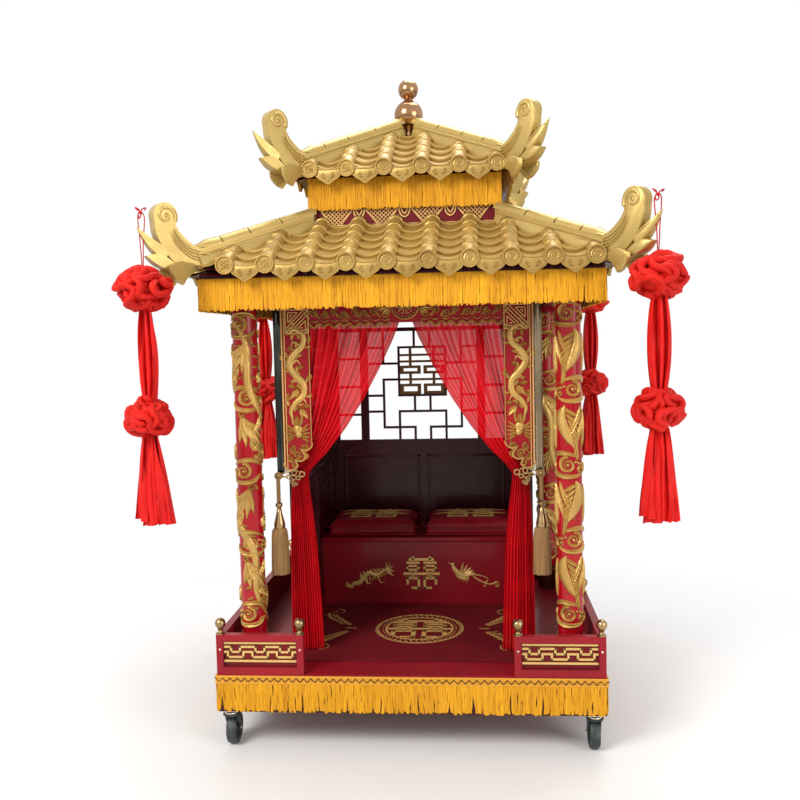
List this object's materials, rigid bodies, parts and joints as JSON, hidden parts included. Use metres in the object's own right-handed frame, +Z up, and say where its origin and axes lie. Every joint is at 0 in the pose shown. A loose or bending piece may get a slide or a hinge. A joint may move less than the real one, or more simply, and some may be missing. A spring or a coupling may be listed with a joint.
{
  "type": "wheeled wedding palanquin",
  "caption": "Red and gold wedding palanquin with a curtained cabin, tiled double roof and a fringed deck on swivel casters.",
  "frame": {"origin": "centre of the plan, at the floor under the casters", "axes": "+Z up, -Y towards the entrance, +X to the right of someone facing the entrance"},
  "size_m": [2.0275, 2.0276, 2.7469],
  "materials": {
    "red_lacquer": "satin red lacquer on board",
    "dark_lacquer": "gloss dark red lacquer",
    "plain_wood": "sawn softwood",
    "yellow_fringe": "rayon fringe",
    "gold_trim": "matt gold",
    "antique_brass": "antique brass",
    "bronze_panel": "bronze paint",
    "bronze_ball": "polished bronze",
    "column_lacquer": "gloss red lacquer",
    "column_ring": "brown lacquer",
    "carpet_pile": "cut pile",
    "polished_strip": "polished strip",
    "cushion_satin": "satin",
    "chiffon": "sheer chiffon",
    "tassel_silk": "silk strands",
    "gilt_tile": "matt gilt resin",
    "rosette_silk": "satin ribbon",
    "zinc_steel": "zinc plate",
    "caster_steel": "black paint",
    "caster_tyre": "black polyurethane"
  },
  "bodies": {
    "root": {"deck_board": "red_lacquer", "skirt_boards": "red_lacquer", "deck_joists": "plain_wood", "caster_blocks": "plain_wood", "base_fringe": "yellow_fringe", "front_rails": "red_lacquer", "side_rails": "red_lacquer", "rear_rail": "red_lacquer", "rail_frets": "gold_trim", "post_finials": "antique_brass", "column_front_left": "column_lacquer", "column_front_right": "column_lacquer", "column_rear_left": "column_lacquer", "column_rear_right": "column_lacquer", "column_rings": "column_ring", "carpet": "carpet_pile", "cabin_posts": "dark_lacquer", "dragon_panel_left": "red_lacquer", "dragon_panel_right": "red_lacquer", "edge_strips": "polished_strip", "lintel": "red_lacquer", "corner_brackets": "gold_trim", "back_panel": "dark_lacquer", "back_lattice": "dark_lacquer", "happiness_panel": "bronze_panel", "side_panels": "dark_lacquer", "side_lattices": "dark_lacquer", "bench_box": "red_lacquer", "bench_board": "red_lacquer", "cushion_left": "cushion_satin", "cushion_right": "cushion_satin", "curtain_left": "chiffon", "curtain_right": "chiffon", "holdbacks": "gold_trim", "tassels": "tassel_silk", "eave_beams": "dark_lacquer", "ceiling_board": "dark_lacquer", "fascia_boards": "dark_lacquer", "lower_fringe": "yellow_fringe", "lower_roof": "gilt_tile", "lower_hips": "gilt_tile", "neck_walls": "dark_lacquer", "neck_frets": "gold_trim", "upper_board": "dark_lacquer", "upper_fringe": "yellow_fringe", "upper_roof": "gilt_tile", "upper_hips": "gilt_tile", "top_finial": "bronze_ball", "garlands": "rosette_silk", "caster_plates": "zinc_steel"},
    "fork_body_front_left": {"fork_front_left": "caster_steel"},
    "wheel_body_front_left": {"wheel_front_left": "caster_tyre"},
    "fork_body_front_right": {"fork_front_right": "caster_steel"},
    "wheel_body_front_right": {"wheel_front_right": "caster_tyre"},
    "fork_body_rear_left": {"fork_rear_left": "caster_steel"},
    "wheel_body_rear_left": {"wheel_rear_left": "caster_tyre"},
    "fork_body_rear_right": {"fork_rear_right": "caster_steel"},
    "wheel_body_rear_right": {"wheel_rear_right": "caster_tyre"}
  },
  "joints": [
    {"name": "swivel_front_left", "type": "hinge", "parent": "root", "child": "fork_body_front_left", "pos_m": [-0.71, -0.66, 0.15], "axis": [0, 0, 1], "continuous": true},
    {"name": "roll_front_left", "type": "hinge", "parent": "fork_body_front_left", "child": "wheel_body_front_left", "pos_m": [-0.71, -0.622, 0.0625], "axis": [1, 0, 0], "continuous": true},
    {"name": "swivel_front_right", "type": "hinge", "parent": "root", "child": "fork_body_front_right", "pos_m": [0.71, -0.66, 0.15], "axis": [0, 0, 1], "continuous": true},
    {"name": "roll_front_right", "type": "hinge", "parent": "fork_body_front_right", "child": "wheel_body_front_right", "pos_m": [0.71, -0.622, 0.0625], "axis": [1, 0, 0], "continuous": true},
    {"name": "swivel_rear_left", "type": "hinge", "parent": "root", "child": "fork_body_rear_left", "pos_m": [-0.71, 0.66, 0.15], "axis": [0, 0, 1], "continuous": true},
    {"name": "roll_rear_left", "type": "hinge", "parent": "fork_body_rear_left", "child": "wheel_body_rear_left", "pos_m": [-0.71, 0.698, 0.0625], "axis": [1, 0, 0], "continuous": true},
    {"name": "swivel_rear_right", "type": "hinge", "parent": "root", "child": "fork_body_rear_right", "pos_m": [0.71, 0.66, 0.15], "axis": [0, 0, 1], "continuous": true},
    {"name": "roll_rear_right", "type": "hinge", "parent": "fork_body_rear_right", "child": "wheel_body_rear_right", "pos_m": [0.71, 0.698, 0.0625], "axis": [1, 0, 0], "continuous": true}
  ]
}
